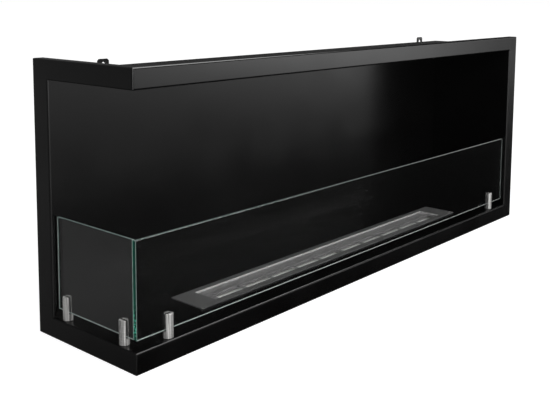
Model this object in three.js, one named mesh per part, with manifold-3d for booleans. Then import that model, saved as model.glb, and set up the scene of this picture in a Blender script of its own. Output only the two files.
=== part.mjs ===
// Corner bioethanol fireplace: a folded-steel firebox open at the front and at the left,
// a slotted stainless burner with a sliding shutter, and two glass panes in slotted posts.
// Millimetres, +Z up, +X along the front, -Y towards the room.
import * as THREE from 'three';
import { mergeVertices } from 'three/addons/utils/BufferGeometryUtils.js';
import Module from 'manifold-3d';

const wasm = await Module();
wasm.setup();

// ---- driving dimensions -------------------------------------------------------------
const LENGTH = 1200; // along the front
const DEPTH = 245; // front face to the rear edge of the left frame
const HEIGHT = 447.5;

const SHEET = 2; // steel sheet of the firebox
const BEND = 3; // outer radius of a fold
const GAP = 0.3; // between neighbouring pieces

const FASCIA = 32.5; // height of the top frame
const PLINTH = 34; // floor above the base
const POST = 36.5; // width of the right front post
const BACK_INSIDE = 204.5; // front face to the back wall's inner face
const RETURN = 18; // frame edges folded back
const LIP = 12; // lower edge of the top frame folded in
const FOOT_RETURN = 12; // rear and right edges of the base folded in
const ROOF_DROP = 17; // roof sheet below the top of the frame
const WALL_FLANGE = 12; // wall tops folded in under the roof sheet
const ROOF_UPSTAND = 15; // roof edges folded up behind the top frame
const POST_FOOT_RADIUS = 5; // rear lower corner of the left frame

const BRACKET_INSET = 109.5; // from each end to a bracket's centre
const BRACKET_WIDTH = 22;
const BRACKET_SHEET = 3;
const BRACKET_RISE = 11.5; // above the roof sheet
const BRACKET_DROP = 34; // below the roof sheet
const BRACKET_CORNER = 3;
const KEYHOLE_RADIUS = 6;
const KEYHOLE_SLOT = 5;
const KEYHOLE_EDGE = 4.5; // material above the keyhole's slot
const KEYHOLE_NOTCH_DEPTH = 8; // cut back in the roof so that a screw head can enter

const GLASS = 5; // pane thickness
const PANE_HEIGHT = 150;
const PANE_LIFT = 13.8; // pane's lower edge above the floor
const PANE_SETBACK = 8.9; // pane's outer face behind the frame's outer face
const PANE_CHAMFER = 0.6;
const CORNER_GAP = 2.5; // between the panes where they meet
const FRONT_PANE_END_GAP = 2; // front pane to the right wall
const LEFT_PANE_END_GAP = 2.8; // left pane to the back wall

const HOLDER_RADIUS = 8;
const HOLDER_HEIGHT = 38.5;
const HOLDER_CHAMFER = 1;
const HOLDER_SLOT_CLEARANCE = 0.3; // each side of the glass
const PAD_THICKNESS = 1.5;
const PAD_LENGTH = 12;
const SCREW_RADIUS = 2.5;
const SCREW_CLEARANCE = 0.3;
const SCREW_HEAD_RADIUS = 4.5;
const SCREW_HEAD_HEIGHT = 3;
const SCREW_SOCKET_RADIUS = 1.5;
const SCREW_SOCKET_DEPTH = 1.8;
const SCREW_REACH = 8.5; // into the holder
const WASHER_RADIUS = 5.5;
const WASHER_THICKNESS = 1;
const FRONT_HOLDER_FROM_LEFT = 71.6;
const FRONT_HOLDER_FROM_RIGHT = 98;
const LEFT_HOLDER_FROM_FRONT = 40.1;
const LEFT_HOLDER_FROM_BACK = 24.4; // from the back wall

const BURNER_SHIFT = -5; // burner's centre from the middle of the length
const BURNER_FROM_BACK = 111; // burner's centre to the back wall
const RIM_END = 44; // rim beyond the recess at each end
const RIM_SIDE = 12.25; // rim beyond the recess at the front and rear
const RIM_SHEET = 2;
const RIM_CORNER = 1.5;
const RECESS_LENGTH = 737;
const RECESS_WIDTH = 50.5;
const RECESS_DEPTH = 3; // slotted plate below the rim's top
const BURNER_SHEET = 1.5;
const LEDGE = 3; // the plate rests on it
const TANK_BOTTOM = 5; // above the base
const TANK_RADIUS = 1.5; // long lower folds of the tank
const TANK_END_ROOM = 12; // floor cut-out beyond the tank at each end
const TANK_SIDE_ROOM = 5.5; // and at the front and rear
const PLATE_CLEARANCE = 0.5;
const SLOT_COUNT = 10;
const SLOT_WIDTH = 20;
const SLOT_WEB = 7.5; // between two slots
const SLOT_END = 14.75; // recess's end to the first slot
const SLOT_CORNER = 1.5;
const FRONT_BAR = 6.5; // recess edge to the slots
const SHUTTER_SHEET = 1.2;
const SHUTTER_WIDTH = 23.5;
const SHUTTER_END_GAP = 1.5;
const SHUTTER_SHOWN = 6; // strip of the shutter that shows in the slots
const SHUTTER_CORNER = 2;
const HOOK_HOLE_RADIUS = 2.2;
const HOOK_HOLE_EDGE = 3.4; // hole's centre behind the shutter's front edge
const HOOK_HOLE_FROM_SLOT_END = 12; // from the last slot's right end
const GUIDE_WIDTH = 12;
const WOOL_RADIUS = 4;
const WOOL_DROP = 1; // wool below the shutter's guides

// ---- places that follow from them ---------------------------------------------------
const windowTop = HEIGHT - FASCIA;
const wallInside = LENGTH - POST; // right wall's inner face
const backOutside = BACK_INSIDE + SHEET;
const roofTop = HEIGHT - ROOF_DROP;
const wallTop = roofTop - SHEET - GAP;
const paneBottom = PLINTH + PANE_LIFT;
const paneMiddle = PANE_SETBACK + GLASS / 2;
const rimTop = PLINTH + GAP + RIM_SHEET;
const plateTop = rimTop - RECESS_DEPTH;
const plateBottom = plateTop - BURNER_SHEET;
const ledgeTop = plateBottom - GAP;
const ledgeBottom = ledgeTop - BURNER_SHEET;
const guideTop = Math.min(ledgeBottom, plateBottom - GAP - SHUTTER_SHEET) - GAP;
const guideBottom = guideTop - BURNER_SHEET;
const tankInsideLength = RECESS_LENGTH + 2 * (BURNER_SHEET + GAP);
const tankInsideWidth = RECESS_WIDTH + 2 * (BURNER_SHEET + GAP);
const tankLength = tankInsideLength + 2 * BURNER_SHEET;
const tankWidth = tankInsideWidth + 2 * BURNER_SHEET;
const burnerX = LENGTH / 2 + BURNER_SHIFT;
const burnerY = BACK_INSIDE - BURNER_FROM_BACK;
const slotPitch = (RECESS_LENGTH - 2 * SLOT_END + SLOT_WEB) / SLOT_COUNT;
const slotLength = slotPitch - SLOT_WEB;
const slotFront = FRONT_BAR - RECESS_WIDTH / 2; // from the burner's centre
const slotBack = slotFront + SLOT_WIDTH;
const lastSlot = ((SLOT_COUNT - 1) * slotPitch) / 2;

// ---- finishes -----------------------------------------------------------------------
const FINISHES = {
  blackSteel: { color: 0x1c1c1d, roughness: 0.45, metalness: 0.2 },
  stainless: { color: 0xb9b8b3, roughness: 0.3, metalness: 1 },
  burnerSteel: { color: 0x9c9a95, roughness: 0.38, metalness: 1 },
  glass: { color: 0xbfdcd2, roughness: 0.05, metalness: 0, transparent: true, opacity: 0.35 },
  rubber: { color: 0x151515, roughness: 0.85, metalness: 0 },
  wool: { color: 0xf1f0ea, roughness: 0.95, metalness: 0 },
  zinc: { color: 0xa9adb0, roughness: 0.4, metalness: 1 },
};

// ---- shape helpers ------------------------------------------------------------------
const FOLD_STEPS = 4; // facets in a quarter turn

// Corners are [u, v] or [u, v, radius]; each radius becomes an arc tangent to both sides.
function roundedOutline(corners, steps = FOLD_STEPS) {
  const points = [];
  corners.forEach(([u, v, radius = 0], index) => {
    const corner = new THREE.Vector2(u, v);
    if (radius <= 0) {
      points.push(corner);
      return;
    }
    const [lastU, lastV] = corners.at(index - 1);
    const [nextU, nextV] = corners[(index + 1) % corners.length];
    const back = new THREE.Vector2(lastU, lastV).sub(corner).normalize();
    const ahead = new THREE.Vector2(nextU, nextV).sub(corner).normalize();
    const halfAngle = Math.acos(THREE.MathUtils.clamp(back.dot(ahead), -1, 1)) / 2;
    const middle = back.clone().add(ahead).normalize().multiplyScalar(radius / Math.sin(halfAngle)).add(corner);
    const start = corner.clone().addScaledVector(back, radius / Math.tan(halfAngle)).sub(middle);
    const turn = (Math.PI - 2 * halfAngle) * Math.sign(back.cross(ahead)) * -1;
    for (let step = 0; step <= steps; step += 1) {
      points.push(start.clone().rotateAround(new THREE.Vector2(), (turn * step) / steps).add(middle));
    }
  });
  return new THREE.Shape(points);
}

// radii run anticlockwise from the lowest corner in both directions.
function rectangle(u0, u1, v0, v1, radii = [0, 0, 0, 0], steps = FOLD_STEPS) {
  const corners = [[u0, v0], [u1, v0], [u1, v1], [u0, v1]];
  return roundedOutline(corners.map((corner, index) => [...corner, radii[index]]), steps);
}

// Section of a folded sheet that lies on the left of the path, with the path as its outer face.
function foldedSection(path, sheet) {
  const face = path.map(([u, v]) => new THREE.Vector2(u, v));
  const along = face.slice(1).map((point, index) => point.clone().sub(face[index]).normalize());
  const left = along.map((direction) => new THREE.Vector2(-direction.y, direction.x));
  const inner = face.map((point, index) => {
    const before = left[Math.max(index - 1, 0)];
    const after = left[Math.min(index, left.length - 1)];
    const shift = before.clone().add(after).divideScalar(1 + before.dot(after));
    return point.clone().addScaledVector(shift, sheet);
  });
  const foldRadius = (index, outerOnLeftTurn) => {
    if (index === 0 || index === face.length - 1) return 0;
    const leftTurn = along[index - 1].cross(along[index]) > 0;
    return leftTurn === outerOnLeftTurn ? BEND : BEND - sheet;
  };
  const outline = [
    ...face.map((point, index) => [point.x, point.y, foldRadius(index, true)]),
    ...inner.map((point, index) => [point.x, point.y, foldRadius(index, false)]).reverse(),
  ];
  return roundedOutline(outline);
}

function solidOf(geometry) {
  const bare = geometry.clone();
  bare.deleteAttribute('normal');
  bare.deleteAttribute('uv');
  const merged = mergeVertices(bare, 1e-4);
  return new wasm.Manifold(new wasm.Mesh({
    numProp: 3,
    vertProperties: new Float32Array(merged.attributes.position.array),
    triVerts: new Uint32Array(merged.index.array),
  }));
}

const AXIS = {
  x: new THREE.Vector3(1, 0, 0),
  y: new THREE.Vector3(0, 1, 0),
  z: new THREE.Vector3(0, 0, 1),
};
const PRISM_TURN = {
  x: new THREE.Matrix4().makeBasis(AXIS.y, AXIS.z, AXIS.x),
  y: new THREE.Matrix4().makeBasis(AXIS.x, AXIS.z, AXIS.y.clone().negate()),
  z: new THREE.Matrix4(),
};

// A section drawn in YZ, XZ or XY and run along X, Y or Z.
function prism(axis, section, from, to) {
  const geometry = new THREE.ExtrudeGeometry(section, { depth: to - from, bevelEnabled: false });
  geometry.translate(0, 0, axis === 'y' ? -to : from);
  geometry.applyMatrix4(PRISM_TURN[axis]);
  return solidOf(geometry);
}

function slab(x0, x1, y0, y1, z0, z1) {
  const geometry = new THREE.BoxGeometry(x1 - x0, y1 - y0, z1 - z0);
  geometry.translate((x0 + x1) / 2, (y0 + y1) / 2, (z0 + z1) / 2);
  return solidOf(geometry);
}

// A solid of revolution about Z from [radius, height] points that start and end on the axis.
function revolve(profile, segments = 32) {
  const points = profile.map(([radius, height]) => new THREE.Vector2(radius, height));
  const geometry = new THREE.LatheGeometry(points, segments);
  geometry.rotateX(Math.PI / 2);
  return solidOf(geometry);
}

function drum(radius, z0, z1, segments = 24) {
  return revolve([[0, z0], [radius, z0], [radius, z1], [0, z1]], segments);
}

const assembly = new THREE.Group();
assembly.position.set(-LENGTH / 2, -DEPTH / 2, 0);

function addPiece(name, solid, finish, place = [0, 0, 0], turn = 0) {
  const mesh = solid.getMesh();
  const geometry = new THREE.BufferGeometry();
  geometry.setAttribute('position', new THREE.BufferAttribute(mesh.vertProperties, 3));
  geometry.setIndex(new THREE.BufferAttribute(mesh.triVerts, 1));
  geometry.computeVertexNormals();
  const piece = new THREE.Mesh(geometry, new THREE.MeshStandardMaterial(FINISHES[finish]));
  piece.name = name;
  piece.position.set(...place);
  piece.rotation.z = turn;
  assembly.add(piece);
}

// ---- firebox ------------------------------------------------------------------------
// A block whose front, left, top and bottom outer edges are rounded, drawn in by inset.
function cornerBlock(x1, y1, z0, z1, inset, radii) {
  const round = (radius) => Math.max(radius - inset, 0);
  const ends = { x0: inset, x1: x1 - inset, y0: inset, y1: y1 - inset, z0: z0 + inset, z1: z1 - inset };
  const side = rectangle(ends.y0, ends.y1, ends.z0, ends.z1, radii.side.map(round));
  const front = rectangle(ends.x0, ends.x1, ends.z0, ends.z1, radii.front.map(round));
  const plan = rectangle(ends.x0, ends.x1, ends.y0, ends.y1, radii.plan.map(round));
  return prism('x', side, ends.x0, ends.x1)
    .intersect(prism('y', front, ends.y0, ends.y1))
    .intersect(prism('z', plan, ends.z0, ends.z1));
}

function cornerShell(x1, y1, z0, z1, radii) {
  return cornerBlock(x1, y1, z0, z1, 0, radii).subtract(cornerBlock(x1, y1, z0, z1, SHEET, radii));
}

function topFrame() {
  const radii = {
    side: [BEND, 0, BEND, BEND],
    front: [BEND, 0, BEND, BEND],
    plan: [BEND, BEND, BEND, BEND],
  };
  const lipTop = windowTop + SHEET + GAP;
  const channel = cornerShell(LENGTH, DEPTH, windowTop, HEIGHT, radii)
    .subtract(slab(RETURN, LENGTH + 1, RETURN, DEPTH + 1, windowTop - 1, HEIGHT + 1))
    .subtract(slab(LIP, LENGTH + 1, LIP, DEPTH + 1, windowTop - 1, lipTop))
    .subtract(slab(wallInside - GAP, LENGTH - SHEET, SHEET, RETURN + 1, windowTop - 1, lipTop))
    .subtract(slab(SHEET, RETURN + 1, BACK_INSIDE - GAP, DEPTH - SHEET, windowTop - 1, lipTop));
  const overRightPost = foldedSection([[wallInside - GAP, 0], [LENGTH, 0], [LENGTH, RETURN]], SHEET);
  const overLeftPost = foldedSection([[RETURN, DEPTH], [0, DEPTH], [0, BACK_INSIDE - GAP]], SHEET);
  return channel
    .add(prism('z', overRightPost, windowTop, windowTop + BEND + SHEET))
    .add(prism('z', overLeftPost, windowTop, windowTop + BEND + SHEET));
}

function topFascias() {
  const frame = topFrame();
  const front = frame.intersect(slab(-1, LENGTH + 1, -1, RETURN, 0, HEIGHT + 1));
  const left = frame.intersect(slab(-1, RETURN + 1, RETURN + GAP, DEPTH + 1, 0, HEIGHT + 1));
  addPiece('front_top_fascia', front, 'blackSteel');
  addPiece('left_top_fascia', left, 'blackSteel');
}

const frontHolderPlaces = [FRONT_HOLDER_FROM_LEFT, LENGTH - FRONT_HOLDER_FROM_RIGHT]
  .map((x) => [x, paneMiddle]);
const leftHolderPlaces = [LEFT_HOLDER_FROM_FRONT, BACK_INSIDE - LEFT_HOLDER_FROM_BACK]
  .map((y) => [paneMiddle, y]);

function baseTray() {
  const right = wallInside - GAP;
  const rear = BACK_INSIDE - GAP;
  const radii = { side: [BEND, 0, 0, BEND], front: [BEND, 0, 0, BEND], plan: [BEND, 0, 0, 0] };
  const underside = slab(RETURN, right - FOOT_RETURN, RETURN, rear - FOOT_RETURN, -1, SHEET + GAP);
  let tray = cornerShell(right, rear, 0, PLINTH, radii).subtract(underside);
  const cutLength = tankLength / 2 + TANK_END_ROOM;
  const cutWidth = tankWidth / 2 + TANK_SIDE_ROOM;
  const burnerHole = rectangle(
    burnerX - cutLength,
    burnerX + cutLength,
    burnerY - cutWidth,
    burnerY + cutWidth,
    Array(4).fill(RIM_CORNER),
  );
  tray = tray.subtract(prism('z', burnerHole, PLINTH - 2 * SHEET, PLINTH + 1));
  for (const [x, y] of [...frontHolderPlaces, ...leftHolderPlaces]) {
    const hole = drum(SCREW_RADIUS + SCREW_CLEARANCE, PLINTH - 2 * SHEET, PLINTH + 1);
    tray = tray.subtract(hole.translate([x, y, 0]));
  }
  addPiece('base_tray', tray, 'blackSteel');
}

// Fills the fold's round where a post's inner edge stands beside the base, so that both lie flush.
function flushCorner(x0, x1, y0, y1) {
  return slab(x0, x1, y0, y1, 0, PLINTH);
}

// Rounds the lower outer edges of the posts like those of the base between them.
function footRounding(rearRadius) {
  const side = rectangle(0, DEPTH, 0, HEIGHT, [BEND, rearRadius, 0, 0], 2 * FOLD_STEPS);
  const front = rectangle(0, LENGTH, 0, HEIGHT, [BEND, BEND, 0, 0]);
  return prism('x', side, 0, LENGTH).intersect(prism('y', front, 0, DEPTH));
}

const bracketCentres = [BRACKET_INSET, LENGTH - BRACKET_INSET];

function keyholeNotches() {
  const half = KEYHOLE_RADIUS + GAP;
  const [first, second] = bracketCentres.map((x) => slab(
    x - half,
    x + half,
    BACK_INSIDE - KEYHOLE_NOTCH_DEPTH,
    backOutside + 1,
    roofTop - KEYHOLE_RADIUS,
    roofTop + 1,
  ));
  return first.add(second);
}

function rightPanel() {
  const plan = foldedSection(
    [[wallInside, BACK_INSIDE - GAP], [wallInside, 0], [LENGTH, 0], [LENGTH, RETURN]],
    SHEET,
  );
  const lower = prism('z', plan, 0, windowTop - GAP)
    .add(flushCorner(wallInside, wallInside + BEND, 0, SHEET))
    .intersect(footRounding(0));
  const outside = wallInside + SHEET;
  const head = foldedSection(
    [[outside, windowTop - BEND], [outside, wallTop], [wallInside - WALL_FLANGE, wallTop]],
    SHEET,
  );
  const headRear = BACK_INSIDE - WALL_FLANGE - GAP;
  const upper = prism('y', head, RETURN + GAP, headRear);
  const rearEdge = slab(wallInside, outside, headRear - 1, BACK_INSIDE - GAP, windowTop - BEND, wallTop);
  addPiece('right_panel', lower.add(upper).add(rearEdge), 'blackSteel');
}

function backPanel() {
  const rightEnd = wallInside + SHEET;
  const plan = foldedSection([[RETURN, DEPTH], [0, DEPTH], [0, BACK_INSIDE], [rightEnd, BACK_INSIDE]], SHEET);
  const lower = prism('z', plan, 0, windowTop - GAP)
    .add(flushCorner(0, SHEET, BACK_INSIDE, BACK_INSIDE + BEND))
    .intersect(footRounding(POST_FOOT_RADIUS));
  const head = foldedSection(
    [[backOutside, windowTop - BEND], [backOutside, wallTop], [BACK_INSIDE - WALL_FLANGE, wallTop]],
    SHEET,
  );
  const upper = prism('x', head, SHEET + GAP, wallInside - GAP);
  const rightEdge = slab(wallInside - 1, rightEnd, BACK_INSIDE, backOutside, windowTop - BEND, wallTop);
  const panel = lower
    .add(upper.subtract(slab(0, BEND + SHEET, 0, DEPTH, 0, windowTop)))
    .add(rightEdge)
    .subtract(keyholeNotches());
  addPiece('back_panel', panel, 'blackSteel');
}

function roofPanel() {
  const start = SHEET + GAP;
  const bottom = roofTop - SHEET;
  const rightEnd = wallInside + SHEET;
  const relief = start + 2 * BEND;
  const upstandTop = [start, bottom + ROOF_UPSTAND];
  const frontFold = foldedSection([upstandTop, [start, bottom], [backOutside, bottom]], SHEET);
  const leftFold = foldedSection([upstandTop, [start, bottom], [rightEnd, bottom]], SHEET);
  const roof = prism('x', frontFold, relief, rightEnd)
    .add(prism('y', leftFold, relief, backOutside))
    .subtract(keyholeNotches());
  addPiece('roof_panel', roof, 'blackSteel');
}

function hangingBracket(name, x) {
  const half = BRACKET_WIDTH / 2;
  const top = roofTop + BRACKET_RISE;
  const corners = [
    [-half, roofTop - BRACKET_DROP],
    [half, roofTop - BRACKET_DROP],
    [half, top - BRACKET_CORNER],
    [half - BRACKET_CORNER, top],
    [BRACKET_CORNER - half, top],
    [-half, top - BRACKET_CORNER],
  ];
  const near = backOutside + GAP;
  const slotRadius = KEYHOLE_SLOT / 2;
  const slotTop = top - KEYHOLE_EDGE;
  const slot = rectangle(-slotRadius, slotRadius, roofTop, slotTop, [0, 0, slotRadius, slotRadius]);
  const round = rectangle(
    -KEYHOLE_RADIUS,
    KEYHOLE_RADIUS,
    roofTop - KEYHOLE_RADIUS,
    roofTop + KEYHOLE_RADIUS,
    Array(4).fill(KEYHOLE_RADIUS),
  );
  const plate = prism('y', roundedOutline(corners), near, near + BRACKET_SHEET)
    .subtract(prism('y', slot, near - 1, near + BRACKET_SHEET + 1))
    .subtract(prism('y', round, near - 1, near + BRACKET_SHEET + 1));
  addPiece(name, plate, 'blackSteel', [x, 0, 0]);
}

// ---- glass and its holders ----------------------------------------------------------
function paneSection() {
  const c = PANE_CHAMFER;
  const half = GLASS / 2;
  return roundedOutline([
    [c - half, paneBottom],
    [half - c, paneBottom],
    [half, paneBottom + c],
    [half, paneBottom + PANE_HEIGHT - c],
    [half - c, paneBottom + PANE_HEIGHT],
    [c - half, paneBottom + PANE_HEIGHT],
    [-half, paneBottom + PANE_HEIGHT - c],
    [-half, paneBottom + c],
  ]);
}

function panes() {
  const frontEnd = wallInside - FRONT_PANE_END_GAP;
  const leftStart = PANE_SETBACK + GLASS + CORNER_GAP;
  const leftEnd = BACK_INSIDE - LEFT_PANE_END_GAP;
  const front = prism('x', paneSection(), PANE_SETBACK, frontEnd);
  const left = prism('y', paneSection(), leftStart, leftEnd);
  addPiece('front_glass', front, 'glass', [0, paneMiddle, 0]);
  addPiece('left_glass', left, 'glass', [paneMiddle, 0, 0]);
}

const holderBase = PLINTH + GAP;
const padTop = paneBottom - GAP;
const holderSlotBottom = padTop - PAD_THICKNESS - GAP;

function holderSolid() {
  const r = HOLDER_RADIUS;
  const c = HOLDER_CHAMFER;
  const top = holderBase + HOLDER_HEIGHT;
  const profile = [
    [0, holderBase], [r - c, holderBase], [r, holderBase + c], [r, top - c], [r - c, top], [0, top],
  ];
  const slotHalf = GLASS / 2 + HOLDER_SLOT_CLEARANCE;
  return revolve(profile, 40)
    .subtract(slab(-r - 1, r + 1, -slotHalf, slotHalf, holderSlotBottom, top + 1))
    .subtract(drum(SCREW_RADIUS + SCREW_CLEARANCE, holderBase - 1, holderBase + SCREW_REACH + 2));
}

function screwSolid() {
  const headTop = PLINTH - SHEET - GAP - WASHER_THICKNESS - GAP;
  const headBottom = headTop - SCREW_HEAD_HEIGHT;
  const edge = SCREW_HEAD_RADIUS - HOLDER_CHAMFER;
  const tip = holderBase + SCREW_REACH;
  return revolve([
    [0, headBottom + SCREW_SOCKET_DEPTH],
    [SCREW_SOCKET_RADIUS, headBottom + SCREW_SOCKET_DEPTH],
    [SCREW_SOCKET_RADIUS, headBottom],
    [edge, headBottom],
    [SCREW_HEAD_RADIUS, headBottom + HOLDER_CHAMFER],
    [SCREW_HEAD_RADIUS, headTop],
    [SCREW_RADIUS, headTop],
    [SCREW_RADIUS, tip - GAP],
    [SCREW_RADIUS - GAP, tip],
    [0, tip],
  ], 20);
}

function washerSolid() {
  const top = PLINTH - SHEET - GAP;
  return drum(WASHER_RADIUS, top - WASHER_THICKNESS, top)
    .subtract(drum(SCREW_RADIUS + SCREW_CLEARANCE, top - WASHER_THICKNESS - 1, top + 1));
}

function glassHolders() {
  const holder = holderSolid();
  const screw = screwSolid();
  const washer = washerSolid();
  const pad = slab(-PAD_LENGTH / 2, PAD_LENGTH / 2, -GLASS / 2, GLASS / 2, padTop - PAD_THICKNESS, padTop);
  const places = [
    ['front_left', frontHolderPlaces[0], 0],
    ['front_right', frontHolderPlaces[1], 0],
    ['left_front', leftHolderPlaces[0], Math.PI / 2],
    ['left_rear', leftHolderPlaces[1], Math.PI / 2],
  ];
  for (const [name, [x, y], turn] of places) {
    addPiece(`holder_${name}`, holder, 'stainless', [x, y, 0], turn);
    addPiece(`holder_pad_${name}`, pad, 'rubber', [x, y, 0], turn);
    addPiece(`holder_screw_${name}`, screw, 'zinc', [x, y, 0], turn);
    addPiece(`holder_washer_${name}`, washer, 'zinc', [x, y, 0], turn);
  }
}

// ---- burner -------------------------------------------------------------------------
function centredBlock(length, width, z0, z1, radius = 0) {
  const outline = rectangle(-length / 2, length / 2, -width / 2, width / 2, Array(4).fill(radius));
  return prism('z', outline, z0, z1);
}

const burnerPlace = [burnerX, burnerY, 0];

function burnerRim() {
  const wall = 2 * BURNER_SHEET;
  const length = RECESS_LENGTH + 2 * RIM_END;
  const width = RECESS_WIDTH + 2 * RIM_SIDE;
  const rim = centredBlock(length, width, PLINTH + GAP, rimTop, RIM_CORNER)
    .add(centredBlock(RECESS_LENGTH + wall, RECESS_WIDTH + wall, ledgeBottom, rimTop))
    .subtract(centredBlock(RECESS_LENGTH, RECESS_WIDTH, ledgeTop, rimTop + 1))
    .subtract(centredBlock(RECESS_LENGTH - 2 * LEDGE, RECESS_WIDTH - 2 * LEDGE, ledgeBottom - 1, rimTop));
  addPiece('burner_rim', rim, 'burnerSteel', burnerPlace);
}

function burnerTank() {
  const section = (grow, radius) => rectangle(
    -tankInsideWidth / 2 - grow,
    tankInsideWidth / 2 + grow,
    TANK_BOTTOM + BURNER_SHEET - grow,
    PLINTH,
    [radius, radius, 0, 0],
  );
  const outer = prism('x', section(BURNER_SHEET, TANK_RADIUS), -tankLength / 2, tankLength / 2);
  const innerSection = section(0, TANK_RADIUS - BURNER_SHEET);
  const inner = prism('x', innerSection, -tankInsideLength / 2, tankInsideLength / 2);
  addPiece('burner_tank', outer.subtract(inner), 'burnerSteel', burnerPlace);
}

function slotPlate() {
  const length = RECESS_LENGTH - 2 * PLATE_CLEARANCE;
  const width = RECESS_WIDTH - 2 * PLATE_CLEARANCE;
  let plate = centredBlock(length, width, plateBottom, plateTop);
  for (let slot = 0; slot < SLOT_COUNT; slot += 1) {
    const x = slot * slotPitch - lastSlot;
    const corners = Array(4).fill(SLOT_CORNER);
    const outline = rectangle(x - slotLength / 2, x + slotLength / 2, slotFront, slotBack, corners, 2);
    plate = plate.subtract(prism('z', outline, plateBottom - 1, plateTop + 1));
  }
  addPiece('burner_slot_plate', plate, 'burnerSteel', burnerPlace);
}

// Lies open, with its front strip and the hole for the hook showing in the slots.
function shutterPlate() {
  const top = plateBottom - GAP;
  const bottom = top - SHUTTER_SHEET;
  const half = RECESS_LENGTH / 2 - LEDGE - SHUTTER_END_GAP;
  const front = slotBack - SHUTTER_SHOWN;
  const outline = rectangle(-half, half, front, front + SHUTTER_WIDTH, Array(4).fill(SHUTTER_CORNER));
  const hookHole = drum(HOOK_HOLE_RADIUS, bottom - 1, top + 1, 16)
    .translate([lastSlot + slotLength / 2 - HOOK_HOLE_FROM_SLOT_END, front + HOOK_HOLE_EDGE, 0]);
  addPiece('shutter_plate', prism('z', outline, bottom, top).subtract(hookHole), 'burnerSteel', burnerPlace);
}

function shutterGuides() {
  const width = tankInsideWidth - 2 * GAP;
  const endPlace = tankInsideLength / 2 - GAP - GUIDE_WIDTH / 2;
  const guides = { left: -endPlace, middle: 0, right: endPlace };
  for (const [name, x] of Object.entries(guides)) {
    const guide = centredBlock(GUIDE_WIDTH, width, guideBottom, guideTop);
    addPiece(`shutter_guide_${name}`, guide, 'burnerSteel', [burnerX + x, burnerY, 0]);
  }
}

function ceramicWool() {
  const half = tankInsideWidth / 2 - GAP;
  const low = TANK_BOTTOM + BURNER_SHEET + GAP;
  const section = rectangle(-half, half, low, guideBottom - WOOL_DROP, Array(4).fill(WOOL_RADIUS));
  const reach = tankInsideLength / 2 - GAP;
  addPiece('ceramic_wool', prism('x', section, -reach, reach), 'wool', burnerPlace);
}

topFascias();
baseTray();
rightPanel();
backPanel();
roofPanel();
bracketCentres.forEach((x, index) => hangingBracket(`hanging_bracket_${['left', 'right'][index]}`, x));
panes();
glassHolders();
burnerRim();
burnerTank();
slotPlate();
shutterPlate();
shutterGuides();
ceramicWool();

export default assembly;
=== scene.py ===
import bpy
import math
from mathutils import Matrix, Vector


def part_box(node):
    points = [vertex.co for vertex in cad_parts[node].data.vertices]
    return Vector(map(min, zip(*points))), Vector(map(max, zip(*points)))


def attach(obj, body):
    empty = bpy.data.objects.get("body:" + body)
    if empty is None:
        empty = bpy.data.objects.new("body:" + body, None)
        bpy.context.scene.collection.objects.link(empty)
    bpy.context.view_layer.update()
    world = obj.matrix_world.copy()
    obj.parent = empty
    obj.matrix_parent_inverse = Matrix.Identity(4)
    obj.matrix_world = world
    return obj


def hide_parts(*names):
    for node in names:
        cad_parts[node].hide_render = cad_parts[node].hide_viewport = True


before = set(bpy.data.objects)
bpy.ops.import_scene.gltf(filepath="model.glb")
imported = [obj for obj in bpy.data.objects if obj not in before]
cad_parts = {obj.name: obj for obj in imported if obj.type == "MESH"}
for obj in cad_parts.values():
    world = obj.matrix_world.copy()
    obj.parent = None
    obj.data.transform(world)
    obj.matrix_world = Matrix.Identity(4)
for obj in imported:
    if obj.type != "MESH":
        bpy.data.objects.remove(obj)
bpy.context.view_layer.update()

print("frame loaded,", len(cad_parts), "nodes")


# mesh helpers
def pickNone():
    if bpy.context.object and bpy.context.object.mode != "OBJECT":
        bpy.ops.object.mode_set(mode="OBJECT")
    bpy.ops.object.select_all(action="DESELECT")


def pickOnly(piece):
    pickNone()
    piece.select_set(True)
    bpy.context.view_layer.objects.active = piece


def modify(piece, kind, **settings):
    pickOnly(piece)
    modifier = piece.modifiers.new(kind.title(), kind)
    for name, value in settings.items():
        setattr(modifier, name, value)
    bpy.ops.object.modifier_apply(modifier=modifier.name)


def softenEdges(piece, width, segments, angle, **settings):
    modify(piece, "BEVEL", width=width, segments=segments, limit_method="ANGLE",
           angle_limit=math.radians(angle), **settings)


def smooth(piece, angle):
    pickOnly(piece)
    bpy.ops.object.shade_smooth_by_angle(angle=math.radians(angle))
    modify(piece, "WEIGHTED_NORMAL", keep_sharp=True, weight=100)


def copyNode(nodeName, pieceName):
    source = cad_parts[nodeName]
    piece = bpy.data.objects.new(pieceName, source.data.copy())
    bpy.context.scene.collection.objects.link(piece)
    pickOnly(piece)
    bpy.ops.mesh.customdata_custom_splitnormals_clear()
    bpy.ops.object.mode_set(mode="EDIT")
    bpy.ops.mesh.select_all(action="SELECT")
    bpy.ops.mesh.remove_doubles(threshold=1e-5)
    bpy.ops.mesh.dissolve_limited(angle_limit=math.radians(0.5))
    bpy.ops.object.mode_set(mode="OBJECT")
    return piece


def giveFinish(piece, body, slotName, *materials):
    piece.data.materials.clear()
    for material in materials:
        piece.data.materials.append(material)
    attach(piece, body)


# camera: solved from the corners of the firebox in the photo
camera = {"place": (-1.3423, -1.0305, 0.5523), "yaw": 48.94, "pitch": 6.639, "roll": -0.355,
          "focal": 841.49, "middleRow": 90, "imageWidth": 550, "imageHeight": 412}


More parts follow.
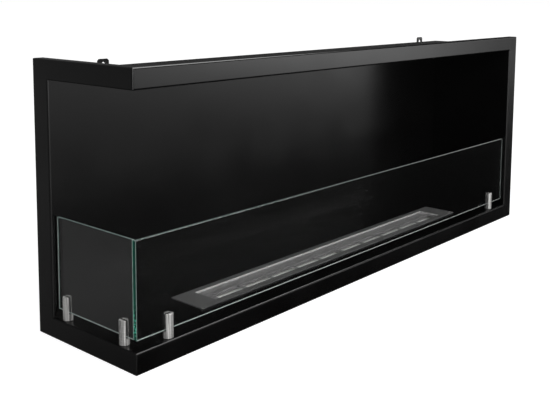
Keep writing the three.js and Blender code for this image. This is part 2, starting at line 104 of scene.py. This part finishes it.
def placeCamera(settings):
    yaw, pitch, roll = (math.radians(settings[name]) for name in ("yaw", "pitch", "roll"))
    ahead = Vector((math.sin(yaw) * math.cos(pitch), math.cos(yaw) * math.cos(pitch), -math.sin(pitch)))
    level = Vector((math.cos(yaw), -math.sin(yaw), 0))
    down = ahead.cross(level)
    right = math.cos(roll) * level + math.sin(roll) * down
    below = math.cos(roll) * down - math.sin(roll) * level
    data = bpy.data.cameras.new("photoCamera")
    data.sensor_width = 36
    data.lens = settings["focal"] * data.sensor_width / settings["imageWidth"]
    data.shift_y = (settings["middleRow"] - settings["imageHeight"] / 2) / settings["imageWidth"]
    data.clip_start = 0.05
    data.clip_end = 60
    seat = bpy.data.objects.new("photoCamera", data)
    bpy.context.scene.collection.objects.link(seat)
    turn = Matrix((right, -below, -ahead)).transposed().to_4x4()
    seat.matrix_world = Matrix.Translation(settings["place"]) @ turn
    bpy.context.scene.camera = seat


placeCamera(camera)
print("camera placed")


# node helpers: every pattern reads Object coordinates, in metres
def newMaterial(name):
    material = bpy.data.materials.new(name)
    material.use_nodes = True
    nodes = material.node_tree.nodes
    nodes.clear()
    output = nodes.new("ShaderNodeOutputMaterial")
    shader = nodes.new("ShaderNodeBsdfPrincipled")
    material.node_tree.links.new(shader.outputs["BSDF"], output.inputs["Surface"])
    return material, shader


def addNode(material, kind, inputs=None, **settings):
    node = material.node_tree.nodes.new(kind)
    for name, value in settings.items():
        setattr(node, name, value)
    for name, value in (inputs or {}).items():
        if isinstance(value, bpy.types.NodeSocket):
            material.node_tree.links.new(value, node.inputs[name])
        else:
            node.inputs[name].default_value = value
    return node


def feed(material, socket, value):
    material.node_tree.links.new(value, socket)


def placeOf(material, scale=(1, 1, 1)):
    coordinates = addNode(material, "ShaderNodeTexCoord")
    mapping = addNode(material, "ShaderNodeMapping",
                      {"Vector": coordinates.outputs["Object"], "Scale": scale})
    return mapping.outputs["Vector"]


def axesOf(material, place):
    return addNode(material, "ShaderNodeSeparateXYZ", {"Vector": place}).outputs


def noise(material, place, scale, detail, roughness=0.5):
    node = addNode(material, "ShaderNodeTexNoise",
                   {"Vector": place, "Scale": scale, "Detail": detail, "Roughness": roughness})
    return node.outputs["Fac"]


def spread(material, value, low, high, fromLow=0.3, fromHigh=0.7):
    node = addNode(material, "ShaderNodeMapRange",
                   {"Value": value, "From Min": fromLow, "From Max": fromHigh, "To Min": low, "To Max": high})
    return node.outputs["Result"]


def combine(material, operation, first, second):
    return addNode(material, "ShaderNodeMath", {0: first, 1: second}, operation=operation).outputs["Value"]


def mixValues(material, share, under, over):
    return addNode(material, "ShaderNodeMix", {0: share, 2: under, 3: over}).outputs[0]  # sockets A and B


def mixColours(material, share, under, over):
    node = addNode(material, "ShaderNodeMix", {0: share, 6: under, 7: over}, data_type="RGBA")
    return node.outputs[2]  # the colour result


def colours(material, value, low, high, fromLow=0.3, fromHigh=0.7):
    node = addNode(material, "ShaderNodeValToRGB", {"Fac": value})
    for element, place, colour in zip(node.color_ramp.elements, (fromLow, fromHigh), (low, high)):
        element.position = place
        element.color = (*colour, 1)
    return node.outputs["Color"]


def bumps(material, shader, height, distance, strength):
    node = addNode(material, "ShaderNodeBump", {"Height": height, "Distance": distance, "Strength": strength})
    feed(material, shader.inputs["Normal"], node.outputs["Normal"])


# satin black powder coat: fine orange peel, a slight drift of gloss
coatSettings = {
    "frame": {"low": (0.0020, 0.0020, 0.0020), "high": (0.0032, 0.0032, 0.0033), "gloss": (0.13, 0.17),
              "specular": 0.5},
    # tab: a lighter copy of the frame's coat, painted light on the hanging tabs
    "litTab": {"low": (0.020, 0.020, 0.020), "high": (0.034, 0.034, 0.034), "gloss": (0.2, 0.3),
            "specular": 0.5},
    # inside: a darker copy of the frame's coat with weaker specular, painted shade on the base tray and the
    # sheets inside the firebox
    "shadedInside": {"low": (0.0016, 0.0015, 0.0015), "high": (0.0028, 0.0027, 0.0027), "gloss": (0.20, 0.26),
               "specular": 0.40},
}
coatSurface = {"drift": 9, "peel": 700, "peelDepth": 0.00002, "peelStrength": 0.5}


def powderCoat(name, settings, surface):
    material, shader = newMaterial(name)
    place = placeOf(material)
    drift = noise(material, place, surface["drift"], 3)
    feed(material, shader.inputs["Base Color"],
         colours(material, drift, settings["low"], settings["high"]))
    feed(material, shader.inputs["Roughness"], spread(material, drift, *settings["gloss"]))
    shader.inputs["Specular IOR Level"].default_value = settings["specular"]
    peel = noise(material, place, surface["peel"], 2)
    bumps(material, shader, peel, surface["peelDepth"], surface["peelStrength"])
    return material


# brushed along the burner
brushedSettings = {
    "plate": {"low": (0.12, 0.116, 0.117), "high": (0.56, 0.545, 0.55), "gloss": (0.36, 0.5), "metal": 0.35},
    "rim": {"low": (0.13, 0.128, 0.128), "high": (0.25, 0.246, 0.246), "gloss": (0.34, 0.46), "metal": 0.35},
    "wall": {"low": (0.55, 0.545, 0.535), "high": (0.8, 0.79, 0.78), "gloss": (0.3, 0.4), "metal": 0.3},
}
brushedSurface = {"lines": (60, 1100, 1100), "depth": 0.00003, "strength": 0.5}


def brushedSteel(name, settings, surface):
    material, shader = newMaterial(name)
    shader.inputs["Metallic"].default_value = settings["metal"]
    lines = noise(material, placeOf(material, surface["lines"]), 1, 4, 0.7)
    feed(material, shader.inputs["Base Color"], colours(material, lines, settings["low"], settings["high"]))
    feed(material, shader.inputs["Roughness"], spread(material, lines, *settings["gloss"]))
    bumps(material, shader, lines, surface["depth"], surface["strength"])
    return material


# turned posts: fine rings, and upright streaks painted into the colour, a painted reflection of the kind a
# round bar mirrors
turnedSettings = {
    "turned": {"low": (0.13, 0.128, 0.126), "high": (0.9, 0.89, 0.87), "gloss": (0.16, 0.3), "metal": 0.45},
    # slot: a darker copy of the turned steel, painted shade inside the slot
    "slot": {"low": (0.03, 0.03, 0.03), "high": (0.10, 0.10, 0.10), "gloss": (0.3, 0.45), "metal": 0.8},
}
turnedSurface = {"paintedReflections": (420, 420, 12), "reflectionRange": (0.34, 0.62), "rings": (20, 20, 4000),
                 "depth": 0.00002, "strength": 0.5}


def turnedSteel(name, settings, surface):
    material, shader = newMaterial(name)
    shader.inputs["Metallic"].default_value = settings["metal"]
    paintedReflections = noise(material, placeOf(material, surface["paintedReflections"]), 1, 3, 0.6)
    rings = noise(material, placeOf(material, surface["rings"]), 1, 3)
    feed(material, shader.inputs["Base Color"],
         colours(material, paintedReflections, settings["low"], settings["high"], *surface["reflectionRange"]))
    feed(material, shader.inputs["Roughness"], spread(material, rings, *settings["gloss"]))
    bumps(material, shader, rings, surface["depth"], surface["strength"])
    return material


glassSettings = {"low": (0.87, 0.885, 0.88), "high": (0.89, 0.90, 0.895), "smear": 14, "gloss": (0.0, 0.015),
                 "ior": 1.5}


def clearGlass(name, settings):
    material, shader = newMaterial(name)
    smear = noise(material, placeOf(material), settings["smear"], 3)
    feed(material, shader.inputs["Base Color"], colours(material, smear, settings["low"], settings["high"]))
    feed(material, shader.inputs["Roughness"], spread(material, smear, *settings["gloss"]))
    shader.inputs["Transmission Weight"].default_value = 1
    shader.inputs["IOR"].default_value = settings["ior"]
    return material


# ground edges of the panes: green, and paler towards the right over a range in X; the paler tone is a painted
# sheen
edgeSettings = {
    "edge": {"low": (0.18, 0.25, 0.23), "high": (0.32, 0.40, 0.38), "gloss": (0.12, 0.25),
             "pale": (0.84, 0.86, 0.85), "sheenRange": (-0.35, 0.40)},
    "foot": {"low": (0.32, 0.37, 0.355), "high": (0.50, 0.56, 0.54), "gloss": (0.12, 0.25),
             "pale": (0.50, 0.515, 0.51), "sheenRange": (-0.50, -0.1)},
    "bevel": {"low": (0.20, 0.29, 0.265), "high": (0.30, 0.41, 0.38), "gloss": (0.1, 0.2),
              "pale": (0.26, 0.30, 0.29), "sheenRange": (-0.15, 0.55)},
}
edgeSurface = {"grind": 300, "specular": 0.6}


def glassEdge(name, settings, surface):
    material, shader = newMaterial(name)
    grind = noise(material, placeOf(material), surface["grind"], 3)
    tint = colours(material, grind, settings["low"], settings["high"])
    # painted sheen: the tone turns paler towards the right
    pale = spread(material, axesOf(material, placeOf(material))["X"], 0.0, 1.0, *settings["sheenRange"])
    feed(material, shader.inputs["Base Color"], mixColours(material, pale, tint, (*settings["pale"], 1)))
    feed(material, shader.inputs["Roughness"], spread(material, grind, *settings["gloss"]))
    shader.inputs["Specular IOR Level"].default_value = surface["specular"]
    return material


# end face of a pane: deep green at the glass corner, with bright glints of the holder low down, a painted
# reflection, grey away from it; cornerRange is in X plus Y
endSettings = {"deep": (0.0, 0.030, 0.020), "pale": (0.004, 0.065, 0.042), "paintedGlint": (0.10, 0.62, 0.42),
               "away": (0.17, 0.185, 0.18), "cornerRange": (-0.66, -0.62), "paintedGlintTop": 0.115,
               "paintedGlintFade": 0.05, "depths": (200, 200, 30), "dots": 260, "dotRange": (0.52, 0.60),
               "gloss": (0.1, 0.2)}


def glassEnd(name, settings):
    material, shader = newMaterial(name)
    depth = noise(material, placeOf(material, settings["depths"]), 1, 2)
    green = colours(material, depth, settings["deep"], settings["pale"])
    dots = noise(material, placeOf(material, (settings["dots"],) * 3), 1, 2, 0.6)
    bright = spread(material, dots, 0.0, 1.0, *settings["dotRange"])
    axes = axesOf(material, placeOf(material))
    low = spread(material, axes["Z"], 1.0, 0.0, settings["paintedGlintTop"] - settings["paintedGlintFade"],
                 settings["paintedGlintTop"])
    corner = combine(material, "ADD", axes["X"], axes["Y"])
    near = spread(material, corner, 1.0, 0.0, *settings["cornerRange"])
    base = mixColours(material, near, (*settings["away"], 1), green)
    # share marks the painted glints: bright dots, low down, near the corner
    share = combine(material, "MULTIPLY", bright, combine(material, "MULTIPLY", low, near))
    feed(material, shader.inputs["Base Color"], mixColours(material, share, base, (*settings["paintedGlint"], 1)))
    feed(material, shader.inputs["Roughness"], spread(material, depth, *settings["gloss"]))
    return material


# plain finishes: one noise drives colour, gloss and bump
plainSettings = {
    "wool": {"low": (0.86, 0.85, 0.83), "high": (0.98, 0.97, 0.95), "gloss": (0.85, 1.0), "metal": 0,
             "scale": 400, "detail": 6, "roughness": 0.7, "depth": 0.0006, "strength": 0.9},
    "rubber": {"low": (0.010, 0.010, 0.010), "high": (0.018, 0.018, 0.018), "gloss": (0.7, 0.9), "metal": 0,
               "scale": 1500, "detail": 2, "roughness": 0.5, "depth": 0.00005, "strength": 0.5},
    "zinc": {"low": (0.42, 0.44, 0.46), "high": (0.56, 0.58, 0.60), "gloss": (0.25, 0.45), "metal": 1,
             "scale": 900, "detail": 3, "roughness": 0.5, "depth": 0.00003, "strength": 0.4},
}


def plainFinish(name, settings):
    material, shader = newMaterial(name)
    shader.inputs["Metallic"].default_value = settings["metal"]
    grain = noise(material, placeOf(material, (settings["scale"],) * 3), 1, settings["detail"],
                  settings["roughness"])
    feed(material, shader.inputs["Base Color"], colours(material, grain, settings["low"], settings["high"]))
    feed(material, shader.inputs["Roughness"], spread(material, grain, *settings["gloss"]))
    bumps(material, shader, grain, settings["depth"], settings["strength"])
    return material


frameCoat = powderCoat("frameCoat", coatSettings["frame"], coatSurface)
# painted shade: the darker copy of the coat for the base tray and the inner sheets
shadedInsideCoat = powderCoat("shadedInsideCoat", coatSettings["shadedInside"], coatSurface)
# painted light: the lighter copy of the coat for the hanging tabs
litTabCoat = powderCoat("litTabCoat", coatSettings["litTab"], coatSurface)
plateSteel = brushedSteel("plateSteel", brushedSettings["plate"], brushedSurface)
rimSteel = brushedSteel("rimSteel", brushedSettings["rim"], brushedSurface)
wallSteel = brushedSteel("wallSteel", brushedSettings["wall"], brushedSurface)
holderSteel = turnedSteel("holderSteel", turnedSettings["turned"], turnedSurface)
slotSteel = turnedSteel("slotSteel", turnedSettings["slot"], turnedSurface)
paneGlass = clearGlass("paneGlass", glassSettings)
paneEdge = glassEdge("paneEdge", edgeSettings["edge"], edgeSurface)
paneFoot = glassEdge("paneFoot", edgeSettings["foot"], edgeSurface)
paneBevel = glassEdge("paneBevel", edgeSettings["bevel"], edgeSurface)
paneEnd = glassEnd("paneEnd", endSettings)
wool = plainFinish("wool", plainSettings["wool"])
padRubber = plainFinish("padRubber", plainSettings["rubber"])
screwZinc = plainFinish("screwZinc", plainSettings["zinc"])
print("finishes made")


# folded sheets: softened cut edges, smooth folds and filled seams
def closeSeams(piece, seams, near):
    for vertex in piece.data.vertices:
        for axis, place, target in seams:
            if abs(vertex.co[axis] - place) < near:
                vertex.co[axis] = target


def onSeam(mesh, edge, seams, near):
    ends = [mesh.vertices[index].co for index in edge.vertices]
    return any(all(abs(end[axis] - target) < near for end in ends) for axis, _, target in seams)


def bevelMarked(piece, width, angle, seams, near):
    pickOnly(piece)
    bpy.context.scene.tool_settings.mesh_select_mode = (False, True, False)
    bpy.ops.object.mode_set(mode="EDIT")
    bpy.ops.mesh.select_all(action="DESELECT")
    bpy.ops.mesh.edges_select_sharp(sharpness=math.radians(angle))
    bpy.ops.object.mode_set(mode="OBJECT")
    mesh = piece.data
    weights = mesh.attributes.new("bevel_weight_edge", "FLOAT", "EDGE")
    for edge in mesh.edges:
        weights.data[edge.index].value = float(edge.select and not onSeam(mesh, edge, seams, near))
    modify(piece, "BEVEL", width=width, segments=2, limit_method="WEIGHT")


# neighbouring sheets stand one gap apart, and meet in the middle of it
halfGap = 0.00015
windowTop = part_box("front_top_fascia")[0][2]
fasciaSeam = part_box("front_top_fascia")[1][1] + halfGap
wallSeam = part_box("base_tray")[1][0] + halfGap
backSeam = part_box("base_tray")[1][1] + halfGap
sheetPieces = {
    "edge": 0.0004,
    "foldAngle": 32,
    "near": 5e-5,
    "seams": {  # axis, place of the edge, place of the seam
        "front_top_fascia": [(2, windowTop, windowTop), (1, fasciaSeam - halfGap, fasciaSeam)],
        "left_top_fascia": [(2, windowTop, windowTop), (1, fasciaSeam + halfGap, fasciaSeam)],
        "base_tray": [(0, wallSeam - halfGap, wallSeam), (1, backSeam - halfGap, backSeam)],
        "right_panel": [(0, wallSeam + halfGap, wallSeam), (2, windowTop - 2 * halfGap, windowTop)],
        "back_panel": [(1, backSeam + halfGap, backSeam), (2, windowTop - 2 * halfGap, windowTop)],
    },
    "nodes": {
        "front_top_fascia": frameCoat, "left_top_fascia": frameCoat, "base_tray": shadedInsideCoat,
        "right_panel": shadedInsideCoat, "back_panel": shadedInsideCoat, "roof_panel": shadedInsideCoat,
        "hanging_bracket_left": litTabCoat, "hanging_bracket_right": litTabCoat,
    },
}
for nodeName, material in sheetPieces["nodes"].items():
    piece = copyNode(nodeName, nodeName + "_sheet")
    seams = sheetPieces["seams"].get(nodeName, [])
    closeSeams(piece, seams, sheetPieces["near"])
    bevelMarked(piece, sheetPieces["edge"], sheetPieces["foldAngle"], seams, sheetPieces["near"])
    smooth(piece, sheetPieces["foldAngle"])
    giveFinish(piece, "root", "black_powder_coat", material)
    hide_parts(nodeName)
print("sheets dressed")


# burner: the walls of the rim's recess are brighter than its flat top, a brighter copy of the rim's steel
# that is painted light
burnerPieces = {
    "edge": 0.00015,
    "foldAngle": 32,
    "recessRoom": 0.001,  # around the slotted plate
    "wallTilt": 0.9,
    "nodes": {"burner_rim": "burner", "burner_tank": "burner", "burner_slot_plate": "burner",
              "shutter_plate": "shutter", "shutter_guide_left": "burner",
              "shutter_guide_middle": "burner", "shutter_guide_right": "burner"},
}


def isRecessWall(face, plateBox, settings):
    low, high = plateBox
    room = settings["recessRoom"]
    within = all(low[axis] - room < face.center[axis] < high[axis] + room for axis in (0, 1))
    return within and abs(face.normal.z) < settings["wallTilt"]


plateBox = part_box("burner_slot_plate")
for nodeName, body in burnerPieces["nodes"].items():
    piece = copyNode(nodeName, nodeName + "_brushed")
    softenEdges(piece, burnerPieces["edge"], 2, burnerPieces["foldAngle"])
    smooth(piece, burnerPieces["foldAngle"])
    if nodeName == "burner_rim":
        giveFinish(piece, body, "brushed_stainless", rimSteel, wallSteel)
        # the recess walls take the brighter steel: painted light
        for face in piece.data.polygons:
            face.material_index = int(isRecessWall(face, plateBox, burnerPieces))
    else:
        giveFinish(piece, body, "brushed_stainless", plateSteel)
    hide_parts(nodeName)
print("burner dressed")


# panes: body that each rides on, and the axis that its large faces look along
panePieces = {
    "chamfer": 0.0006,
    "nodes": {"front_glass": ("front_pane", 1), "left_glass": ("left_pane", 0)},
}
paneFinishes = (paneGlass, paneEdge, paneEnd, paneBevel, paneFoot)


def paneFinish(normal, faceAxis):
    if normal.z < -0.5:
        return paneFoot
    if abs(normal[faceAxis]) > 0.5:
        return paneGlass
    return paneEdge if normal.z > 0.5 else paneEnd


for nodeName, (body, faceAxis) in panePieces["nodes"].items():
    piece = copyNode(nodeName, nodeName + "_pane")
    giveFinish(piece, body, "clear_glass", *paneFinishes)
    for face in piece.data.polygons:
        face.material_index = paneFinishes.index(paneFinish(face.normal, faceAxis))
    softenEdges(piece, panePieces["chamfer"], 1, 60, material=paneFinishes.index(paneBevel))
    piece.visible_shadow = False
    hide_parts(nodeName)
print("panes dressed")


def newBlock(low, high):
    pickNone()
    middle = [(a + b) / 2 for a, b in zip(low, high)]
    bpy.ops.mesh.primitive_cube_add(size=1, location=middle)
    block = bpy.context.object
    block.scale = [b - a for a, b in zip(low, high)]
    bpy.ops.object.transform_apply(location=True, rotation=True, scale=True)
    return block


def newDrum(x, y, low, high, radius, sides):
    pickNone()
    bpy.ops.mesh.primitive_cylinder_add(vertices=sides, radius=radius, depth=high - low,
                                        location=(x, y, (low + high) / 2))
    bpy.ops.object.transform_apply(location=True, rotation=True, scale=True)
    return bpy.context.object


def cut(piece, tool):
    modify(piece, "BOOLEAN", operation="DIFFERENCE", solver="EXACT", object=tool)
    bpy.data.objects.remove(tool)


# turned posts with a slot for the pane, its two prongs rounded off
holderShape = {
    "sides": 96, "radius": 0.008, "rimEdge": 0.0009, "slotEdge": 0.00025, "slotHalf": 0.0028,
    "slotDepth": 0.0271, "boreRadius": 0.0028, "boreDepth": 0.010, "boreSides": 48,
    "places": {"front_left": "x", "front_right": "x", "left_front": "y", "left_rear": "y"},  # along the slot
}


def makeHolder(place, shape):
    lowest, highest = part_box(f"holder_{place}")
    x, y = ((lowest[axis] + highest[axis]) / 2 for axis in (0, 1))
    low, high = lowest[2], highest[2]
    slotLow = high - shape["slotDepth"]
    holder = newDrum(x, y, low, high, shape["radius"], shape["sides"])
    holder.name = f"holder_{place}_turned"
    softenEdges(holder, shape["rimEdge"], 3, 60)
    reach, half = 2 * shape["radius"], shape["slotHalf"]
    alongX = shape["places"][place] == "x"
    halfX, halfY = (reach, half) if alongX else (half, reach)
    cut(holder, newBlock((x - halfX, y - halfY, slotLow), (x + halfX, y + halfY, high + reach)))
    cut(holder, newDrum(x, y, low - reach, low + shape["boreDepth"], shape["boreRadius"], shape["boreSides"]))
    softenEdges(holder, shape["slotEdge"], 2, 50)
    smooth(holder, 28)
    giveFinish(holder, "root", "turned_stainless", holderSteel, slotSteel)
    # faces inside the slot take the darker slot steel: painted shade in the slot
    for face in holder.data.polygons:
        aside = abs(face.center.y - y) if alongX else abs(face.center.x - x)
        face.material_index = int(aside < half + 0.00005 and face.center.z > slotLow - 0.0005)
    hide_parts(f"holder_{place}")


for place in holderShape["places"]:
    makeHolder(place, holderShape)
    print("holder made:", place)

fixings = {"holder_pad": ("black_rubber", padRubber), "holder_screw": ("zinc_steel", screwZinc),
           "holder_washer": ("zinc_steel", screwZinc)}
for place in holderShape["places"]:
    for kind, (slotName, material) in fixings.items():
        nodeName = f"{kind}_{place}"
        piece = copyNode(nodeName, nodeName + "_dressed")
        smooth(piece, 32)
        giveFinish(piece, "root", slotName, material)
        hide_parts(nodeName)


# fibre blanket: a block with a torn, uneven skin that stays inside its tank
woolShape = {"inset": (0.0017, 0.00145, 0.0015), "step": 0.0035, "tufts": 0.006, "depth": 0.0022}


def makeWool(shape):
    low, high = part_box("ceramic_wool")
    blanket = newBlock([place + inset for place, inset in zip(low, shape["inset"])],
                       [place - inset for place, inset in zip(high, shape["inset"])])
    blanket.name = "ceramic_wool_blanket"
    modify(blanket, "REMESH", mode="VOXEL", voxel_size=shape["step"])
    texture = bpy.data.textures.new("woolTufts", "CLOUDS")
    texture.noise_scale = shape["tufts"]
    texture.noise_depth = 3
    modify(blanket, "DISPLACE", texture=texture, texture_coords="GLOBAL", strength=shape["depth"],
           mid_level=0.5)
    pickOnly(blanket)
    bpy.ops.object.shade_smooth_by_angle(angle=math.radians(50))
    return blanket


woolPiece = makeWool(woolShape)
giveFinish(woolPiece, "burner", "ceramic_wool", wool)
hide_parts("ceramic_wool")
print("small pieces dressed")


# floor, lamps and world; each table of steps goes from low to high: place, then level
studio = {
    "floorHalf": 30,
    "floorGlow": 0.8,  # added where the camera sees the floor
    # the glow is left out beneath the object, a painted shade under it
    "shadeFootprintScale": (1 / 0.58, 1 / 0.11, 1),  # no glow beneath the object
    "ambient": 0.5,
    # what glossy surfaces mirror in front: a level by height, one by X in a low band
    "frontHeights": ((-0.5, 0.01), (-0.36, 0.01), (-0.30, 0.015), (-0.26, 0.04), (-0.232, 0.13),
                     (-0.198, 0.2), (-0.169, 0.27), (-0.127, 0.42), (-0.1, 1.25), (-0.01, 1.25), (0.05, 0.1),
                     (0.1, 0.02), (0.5, 0.02), (0.62, 4.5), (0.78, 4.5), (0.9, 1.0), (1.0, 1.0)),
    "frontTilt": 0.55,  # the heights sink to the right of tiltStart
    "tiltStart": 0.66,
    "frontAlong": ((0.4, 0.0), (0.64, 0.0), (0.75, 1.5), (0.82, 1.6), (0.86, 0.95), (0.885, 0.28),
                   (0.905, 0.06), (1.0, 0.02)),
    "frontBand": ((-0.5, 0.0), (-0.12, 0.0), (-0.08, 1.0), (0.0, 1.0), (0.05, 0.0), (0.5, 0.0)),
    # other sectors: direction, where it fades in as a cosine, levels by height
    "sectors": (
        ((0.66, 0.75, 0.0), 0.55, 0.8, ((-1.0, 0.5), (-0.12, 0.5), (-0.02, 0.05), (1.0, 0.05))),
        ((-0.7, -0.7, 0.0), 0.2, 0.6, ((-0.5, 0.08), (-0.40, 0.08), (-0.33, 0.8), (0.12, 0.9), (0.2, 0.3),
                                       (0.5, 0.3))),
        ((-0.7, -0.7, 0.0), 0.78, 0.86, ((-0.5, 0.0), (-0.40, 0.0), (-0.37, 1.6), (-0.34, 1.6),
                                         (-0.30, 0.35), (-0.12, 0.35), (-0.09, 4.0), (0.06, 4.0),
                                         (0.12, 0.3), (0.5, 0.3))),
        ((-0.75, 0.66, 0.0), 0.0, 0.3, ((-0.5, 0.07), (-0.42, 0.07), (-0.34, 0.15), (0.3, 0.13))),
        ((0.0, 1.0, 0.0), 0.86, 0.95, ((-1.0, 0.7), (-0.1, 0.7), (0.0, 0.05), (1.0, 0.05))),
        ((1.0, 0.0, 0.0), 0.94, 0.98, ((-1.0, 0.7), (-0.1, 0.7), (0.0, 0.05), (1.0, 0.05))),
    ),
    "lampAim": (0, 0, 0.2),
    "lampSize": (2.4, 2.0),
    "lamps": {"keyLamp": ((-1.5, -3.2, 2.6), 60), "fillLamp": ((2.6, -2.6, 2.2), 30)},
}


def seenDirectly(material, paths):
    return combine(material, "MAXIMUM", paths["Is Camera Ray"], paths["Is Transmission Ray"])


# the floor glows where it is seen, keeps its shadow, and lets mirrored rays through to the world; beneath the
# object the glow is left out, a painted shade
def makeFloor(settings):
    pickNone()
    bpy.ops.mesh.primitive_plane_add(size=2 * settings["floorHalf"], location=(0, 0, 0))
    floor = bpy.context.object
    floor.name = "studioFloor"
    material, shader = newMaterial("studioFloor")
    shader.inputs["Roughness"].default_value = 1
    shader.inputs["Specular IOR Level"].default_value = 0
    grain = noise(material, placeOf(material), 3, 2)
    feed(material, shader.inputs["Base Color"], colours(material, grain, (0.5, 0.5, 0.5), (0.52, 0.52, 0.52)))
    paths = addNode(material, "ShaderNodeLightPath").outputs
    # no glow within the object's footprint: painted shade under it
    under = addNode(material, "ShaderNodeVectorMath", {0: placeOf(material, settings["shadeFootprintScale"])},
                    operation="ABSOLUTE")
    axes = axesOf(material, under.outputs["Vector"])
    outside = combine(material, "MAXIMUM", axes["X"], axes["Y"])
    glow = spread(material, outside, 0.0, settings["floorGlow"], 0.9, 1.0)
    white = addNode(material, "ShaderNodeEmission", {"Color": (1, 1, 1, 1), "Strength": glow})
    both = addNode(material, "ShaderNodeAddShader",
                   {0: shader.outputs["BSDF"], 1: white.outputs["Emission"]})
    switch = addNode(material, "ShaderNodeMixShader", {0: seenDirectly(material, paths),
                                                       1: shader.outputs["BSDF"], 2: both.outputs["Shader"]})
    clear = addNode(material, "ShaderNodeBsdfTransparent")
    mirrored = combine(material, "GREATER_THAN", paths["Glossy Depth"], 0.5)
    veil = addNode(material, "ShaderNodeMixShader", {0: mirrored, 1: switch.outputs["Shader"],
                                                     2: clear.outputs["BSDF"]})
    output = next(node for node in material.node_tree.nodes if node.type == "OUTPUT_MATERIAL")
    feed(material, output.inputs["Surface"], veil.outputs["Shader"])
    floor.data.materials.append(material)
    floor.visible_glossy = False


makeFloor(studio)


def ramp(material, value, steps):
    low, high = steps[0][0], steps[-1][0]
    most = max(level for _, level in steps)
    node = addNode(material, "ShaderNodeValToRGB", {"Fac": spread(material, value, 0.0, 1.0, low, high)})
    elements = node.color_ramp.elements
    while len(elements) < len(steps):
        elements.new(0.5)
    for element, (position, level) in zip(elements, steps):
        element.position = (position - low) / (high - low)
        element.color = (level / most, level / most, level / most, 1)
    return combine(material, "MULTIPLY", node.outputs["Color"], most)


# white to the camera, dim to diffuse rays, and the tables of steps to mirrored ones
def makeWorld(settings):
    world = bpy.data.worlds.new("studioWorld")
    bpy.context.scene.world = world
    world.use_nodes = True
    world.node_tree.nodes.clear()
    paths = addNode(world, "ShaderNodeLightPath").outputs
    direction = addNode(world, "ShaderNodeTexCoord").outputs["Generated"]
    axes = axesOf(world, direction)
    sink = (1.0 - settings["tiltStart"]) * settings["frontTilt"]
    drop = spread(world, axes["X"], 0.0, sink, settings["tiltStart"], 1.0)
    height = ramp(world, combine(world, "SUBTRACT", axes["Z"], drop), settings["frontHeights"])
    along = ramp(world, axes["X"], settings["frontAlong"])
    band = ramp(world, axes["Z"], settings["frontBand"])
    mirrored = combine(world, "ADD", height, combine(world, "MULTIPLY", along, band))
    for towards, low, high, steps in settings["sectors"]:
        level = ramp(world, axes["Z"], steps)
        turned = addNode(world, "ShaderNodeVectorMath", {0: direction, 1: towards}, operation="DOT_PRODUCT")
        share = spread(world, turned.outputs["Value"], 0.0, 1.0, low, high)
        mirrored = mixValues(world, share, mirrored, level)
    plain = mixValues(world, seenDirectly(world, paths), settings["ambient"], 1.0)
    bounced = combine(world, "GREATER_THAN", paths["Glossy Depth"], 0.5)
    glossy = combine(world, "MAXIMUM", paths["Is Glossy Ray"], bounced)
    background = addNode(world, "ShaderNodeBackground",
                         {"Color": (1, 1, 1, 1), "Strength": mixValues(world, glossy, plain, mirrored)})
    output = addNode(world, "ShaderNodeOutputWorld")
    feed(world, output.inputs["Surface"], background.outputs["Background"])


makeWorld(studio)


def areaLamp(name, place, power, settings):
    data = bpy.data.lights.new(name, "AREA")
    data.shape = "RECTANGLE"
    data.size, data.size_y = settings["lampSize"]
    data.energy = power
    lamp = bpy.data.objects.new(name, data)
    bpy.context.scene.collection.objects.link(lamp)
    lamp.visible_glossy = False
    lamp.location = place
    lamp.rotation_euler = (Vector(settings["lampAim"]) - Vector(place)).to_track_quat("-Z", "Y").to_euler()


for lampName, (lampPlace, power) in studio["lamps"].items():
    areaLamp(lampName, lampPlace, power, studio)
bpy.context.scene.view_settings.view_transform = "Standard"
print("studio set")
